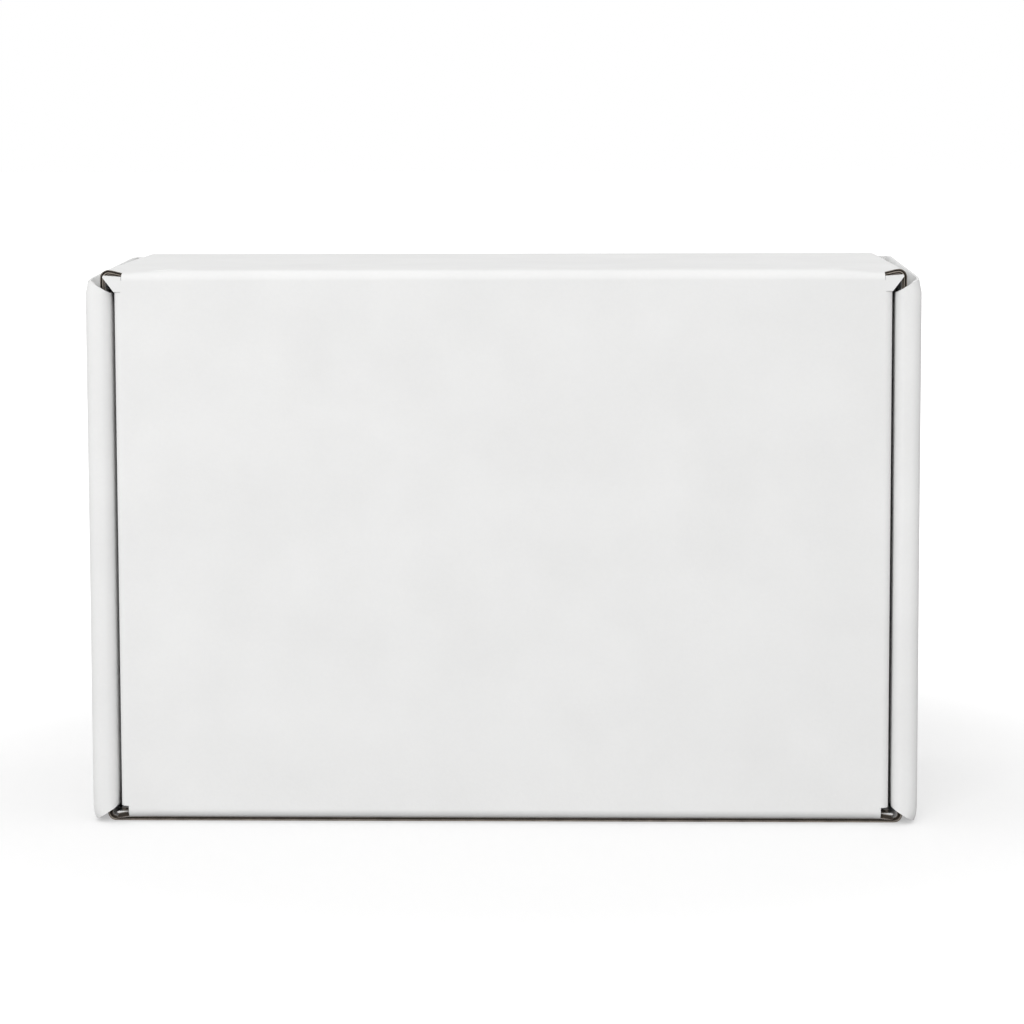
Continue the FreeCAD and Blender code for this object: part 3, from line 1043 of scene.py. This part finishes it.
def roughen(tree, shader, height, strength, distance):
    """The paper's tooth as a bump, in metres."""
    bump = tree.nodes.new("ShaderNodeBump")
    bump.inputs["Strength"].default_value = strength
    bump.inputs["Distance"].default_value = distance
    tree.links.new(height, bump.inputs["Height"])
    tree.links.new(bump.outputs["Normal"], shader.inputs["Normal"])


def white_board_material(finish):
    """Bleached liner: nearly white, matt, softly clouded, with the paper's own fine tooth."""
    tree, shader = new_material("white_liner")
    clouds = spread(tree, noise_node(tree, 45, 3, 0.45), 0.975, 1.012)
    fibres = spread(tree, noise_node(tree, 900, 2), 0.993, 1.004)
    shade_paper(tree, shader, finish.liner_colour, maths(tree, "MULTIPLY", clouds, fibres))
    rough = spread(tree, noise_node(tree, 160, 2), 0.58, 0.68)
    tree.links.new(rough, shader.inputs["Roughness"])
    coarse = maths(tree, "MULTIPLY", noise_node(tree, 260, 2), 1.2)
    grain = maths(tree, "ADD", noise_node(tree, 1400, 3, 0.6), coarse)
    roughen(tree, shader, grain, strength=0.35, distance=0.00006)


def brown_paper_material(name, colour, low, high):
    """Unbleached paper seen at a cut, darker and lighter by turns along the edge; the same tree also makes
    the painted flute shade.
    """
    tree, shader = new_material(name)
    shade_paper(tree, shader, colour, spread(tree, noise_node(tree, 220, 3, 0.6), low, high))
    shader.inputs["Roughness"].default_value = 0.9
    roughen(tree, shader, noise_node(tree, 1800, 2), strength=0.5, distance=0.00008)


def board_materials(finish):
    """The liner, its cut edge, and the painted shade that stands in for the dark space between the liners,
    made once.
    """
    if "white_liner" not in bpy.data.materials:
        white_board_material(finish)
        brown_paper_material("liner_cut", finish.cut_colour, 0.7, 1.3)
        # flute_shadow is painted shade: a near-black colour put at the back of the open flutes in place of
        # their shade.
        brown_paper_material("flute_shadow", finish.flute_shade_colour, 0.8, 1.2)
        brown_paper_material("flute_paper", finish.flute_colour, 0.75, 1.25)
    return [bpy.data.materials[name] for name in ("white_liner", "liner_cut", "flute_shadow")]


def make_piece(context, name, shape):
    """One folded piece with its own raw edges, and the flat flute strip for them."""
    settings = context.scene.mailer_board
    materials = board_materials(context.scene.mailer_finish)
    blank = shape.blank(settings)
    piece, raw = fold_board(name, blank, shape, settings, materials)
    return piece, flute_strip(blank, shape.place, raw, settings)


def add_flutes(context, name, strip, body):
    settings = context.scene.mailer_board
    piece = make_flutes(name, strip, body, settings, bpy.data.materials["flute_paper"])


class MailerBoard(bpy.types.PropertyGroup):
    """Sizes of the board."""

    liner: bpy.props.FloatProperty(
        name="Liner", description="Thickness of each flat paper", default=LINER_PAPER, subtype="DISTANCE"
    )
    flute_paper: bpy.props.FloatProperty(
        name="Flute paper", description="Its thickness", default=FLUTE_PAPER, subtype="DISTANCE"
    )
    flute_pitch: bpy.props.FloatProperty(
        name="Flute pitch", description="From flute to flute", default=FLUTE_PITCH, subtype="DISTANCE"
    )
    recess: bpy.props.FloatProperty(
        name="Edge depth", description="How far raw edges are open", default=0.0009, subtype="DISTANCE"
    )
    bend_segments: bpy.props.IntProperty(
        name="Bend segments", description="Divisions across each fold", default=10, min=4, max=24
    )


class MailerFinish(bpy.types.PropertyGroup):
    """Colours of the papers, and of the painted shade in the open raw edges."""

    liner_colour: bpy.props.FloatVectorProperty(
        name="Liner", description="Bleached outer paper", default=(0.87, 0.87, 0.865), subtype="COLOR"
    )
    cut_colour: bpy.props.FloatVectorProperty(
        name="Cut edge", description="Cut edge of the liners", default=(0.17, 0.147, 0.127), subtype="COLOR"
    )
    flute_colour: bpy.props.FloatVectorProperty(
        name="Flute paper", description="Fluted paper", default=(0.36, 0.315, 0.27), subtype="COLOR"
    )
    # Painted shade: the near-black colour that stands in for the shade inside the open flutes.
    flute_shade_colour: bpy.props.FloatVectorProperty(
        name="Flute shadow", description="Open flutes", default=(0.035, 0.027, 0.02), subtype="COLOR"
    )


class MailerStage(bpy.types.PropertyGroup):
    """Camera and lamp."""

    lens: bpy.props.FloatProperty(name="Lens", description="Focal length in millimetres", default=111.4)
    key_power: bpy.props.FloatProperty(
        name="Key lamp", description="Power of the key lamp", default=17.0, unit="POWER"
    )
    fill: bpy.props.FloatProperty(
        name="Fill", description="Strength of the light from all round", default=0.84
    )


class MAILER_OT_tray(bpy.types.Operator):
    """Folds the tray: base, end walls with dust flaps, and rolled side walls"""

    bl_idname = "mailer.tray"
    bl_label = "Fold tray"

    def execute(self, context):
        piece, strip = make_piece(context, "tray_board", TrayShape())
        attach(piece, "tray")
        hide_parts("tray")
        add_flutes(context, "tray_flutes", strip, "tray")
        return {"FINISHED"}


class MAILER_OT_lid(bpy.types.Operator):
    """Folds the lid with its side flaps and corner tabs"""

    bl_idname = "mailer.lid"
    bl_label = "Fold lid"

    def execute(self, context):
        piece, strip = make_piece(context, "lid_board", LidShape())
        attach(piece, "lid")
        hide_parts("lid")
        add_flutes(context, "lid_flutes", strip, "lid")
        return {"FINISHED"}


class MAILER_OT_tuck_flap(bpy.types.Operator):
    """Cuts the tuck flap with its ears"""

    bl_idname = "mailer.tuck_flap"
    bl_label = "Cut tuck flap"

    def execute(self, context):
        piece, strip = make_piece(context, "tuck_flap_board", TuckShape())
        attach(piece, "tuck_flap")
        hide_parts("tuck_flap")
        add_flutes(context, "tuck_flap_flutes", strip, "tuck_flap")
        return {"FINISHED"}


class MAILER_OT_creases(bpy.types.Operator):
    """Bends the two scored strips that join the moving pieces"""

    bl_idname = "mailer.creases"
    bl_label = "Bend creases"

    def execute(self, context):
        hinge, _ = make_piece(context, "hinge_crease", hinge_shape())
        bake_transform(hinge)
        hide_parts("hinge_fold")
        tuck, _ = make_piece(context, "tuck_crease_strip", tuck_shape())
        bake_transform(tuck)
        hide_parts("tuck_fold")
        return {"FINISHED"}


def seen_rays(tree):
    """1 on camera, glossy and transmission rays, and 0 on those that carry light between surfaces."""
    rays = tree.nodes.new("ShaderNodeLightPath")
    seen = maths(tree, "MAXIMUM", rays.outputs["Is Camera Ray"], rays.outputs["Is Glossy Ray"])
    return maths(tree, "MAXIMUM", seen, rays.outputs["Is Transmission Ray"])


def stage_material():
    """Pale paper that reads white away from the box, takes its shadow, and throws little light back; its
    glow is dimmer near the box, painted shade in a soft pool around it.
    """
    material = bpy.data.materials.new("studio_paper")
    material.use_nodes = True
    tree = material.node_tree
    tree.nodes.clear()
    output = tree.nodes.new("ShaderNodeOutputMaterial")
    seen = seen_rays(tree)
    matt = tree.nodes.new("ShaderNodeBsdfDiffuse")
    shade = map_range(tree, seen, (0, 1), (PAPER_THROWN, PAPER_SEEN))
    tree.links.new(shade.outputs[0], matt.inputs["Color"])
    place = tree.nodes.new("ShaderNodeTexCoord")
    distance = tree.nodes.new("ShaderNodeVectorMath")
    distance.operation = "LENGTH"
    tree.links.new(place.outputs["Object"], distance.inputs[0])
    # Painted shade: the glow is lower near the box than far off, darkening the floor around it on top of
    # its real shadow.
    level = map_range(tree, distance.outputs["Value"], (SHADE_POOL_NEAR, SHADE_POOL_FAR), (SHADE_POOL_GLOW, 1))
    level.interpolation_type = "SMOOTHSTEP"
    glow = tree.nodes.new("ShaderNodeEmission")
    tree.links.new(maths(tree, "MULTIPLY", level.outputs[0], seen), glow.inputs["Strength"])
    both = tree.nodes.new("ShaderNodeAddShader")
    tree.links.new(matt.outputs[0], both.inputs[0])
    tree.links.new(glow.outputs[0], both.inputs[1])
    tree.links.new(both.outputs[0], output.inputs["Surface"])
    return material


def make_floor():
    mesh = bpy.data.meshes.new("floor")
    corners = box_panel(-FLOOR_HALF, FLOOR_HALF, -FLOOR_HALF, FLOOR_HALF)
    mesh.from_pydata([(x, y, 0) for x, y in corners], [], [(0, 1, 2, 3)])
    mesh.materials.append(stage_material())
    floor = bpy.data.objects.new("floor", mesh)
    bpy.context.scene.collection.objects.link(floor)


def light_world(context, fill):
    """Even light from all round, which reads white where it is seen."""
    world = context.scene.world or bpy.data.worlds.new("World")
    context.scene.world = world
    world.use_nodes = True
    tree = world.node_tree
    background = tree.nodes["Background"]
    background.inputs["Color"].default_value = (1, 1, 1, 1)
    level = map_range(tree, seen_rays(tree), (0, 1), (fill, 1))
    tree.links.new(level.outputs[0], background.inputs["Strength"])


def add_lamp(power):
    """A large soft lamp in front of the box, to its left."""
    light = bpy.data.lights.new("key", "AREA")
    light.shape = "SQUARE"
    light.size = KEY_SIZE
    light.energy = power
    lamp = bpy.data.objects.new("key", light)
    lamp.location = KEY_PLACE
    lamp.rotation_euler = (Vector(KEY_TARGET) - Vector(KEY_PLACE)).to_track_quat("-Z", "Y").to_euler()
    bpy.context.scene.collection.objects.link(lamp)


def add_camera(scene, lens):
    """A long lens in front of the box and a little above its top, with a small shift."""
    camera = bpy.data.cameras.new("camera")
    camera.lens = lens
    camera.sensor_width = SENSOR_WIDTH
    camera.sensor_fit = "HORIZONTAL"
    camera.shift_y = CAMERA_SHIFT
    camera.clip_start = CAMERA_NEAR
    viewer = bpy.data.objects.new("camera", camera)
    viewer.location = CAMERA_PLACE
    viewer.rotation_euler = [math.radians(turn) for turn in CAMERA_TURN]
    scene.collection.objects.link(viewer)
    scene.camera = viewer


class MAILER_OT_stage(bpy.types.Operator):
    """Sets the floor, the soft lamp and the camera"""

    bl_idname = "mailer.stage"
    bl_label = "Set stage"

    def execute(self, context):
        stage = context.scene.mailer_stage
        make_floor()
        add_lamp(stage.key_power)
        light_world(context, stage.fill)
        context.scene.view_settings.view_transform = "Standard"
        add_camera(context.scene, stage.lens)
        return {"FINISHED"}


class MAILER_PT_sidebar(bpy.types.Panel):
    """The mailer's sizes, colours and pieces"""

    bl_label = "Mailer box"
    bl_idname = "MAILER_PT_sidebar"
    bl_space_type = "VIEW_3D"
    bl_region_type = "UI"
    bl_category = "Mailer"

    def draw(self, context):
        scene = context.scene
        for group in (scene.mailer_board, scene.mailer_finish, scene.mailer_stage):
            for name in group.bl_rna.properties.keys():
                if name not in ("rna_type", "name"):
                    self.layout.prop(group, name)
        for operator in OPERATORS:
            self.layout.operator(operator.bl_idname)


OPERATORS = (MAILER_OT_tray, MAILER_OT_lid, MAILER_OT_tuck_flap, MAILER_OT_creases, MAILER_OT_stage)
CLASSES = (MailerBoard, MailerFinish, MailerStage) + OPERATORS + (MAILER_PT_sidebar,)


def register():
    for item in CLASSES:
        bpy.utils.register_class(item)
    bpy.types.Scene.mailer_board = bpy.props.PointerProperty(type=MailerBoard)
    bpy.types.Scene.mailer_finish = bpy.props.PointerProperty(type=MailerFinish)
    bpy.types.Scene.mailer_stage = bpy.props.PointerProperty(type=MailerStage)


def unregister():
    del bpy.types.Scene.mailer_stage
    del bpy.types.Scene.mailer_finish
    del bpy.types.Scene.mailer_board
    for item in reversed(CLASSES):
        bpy.utils.unregister_class(item)


def main():
    register()
    bpy.ops.mailer.tray()
    bpy.ops.mailer.lid()
    bpy.ops.mailer.tuck_flap()
    bpy.ops.mailer.creases()
    bpy.ops.mailer.stage()


if __name__ == "__main__":
    main()
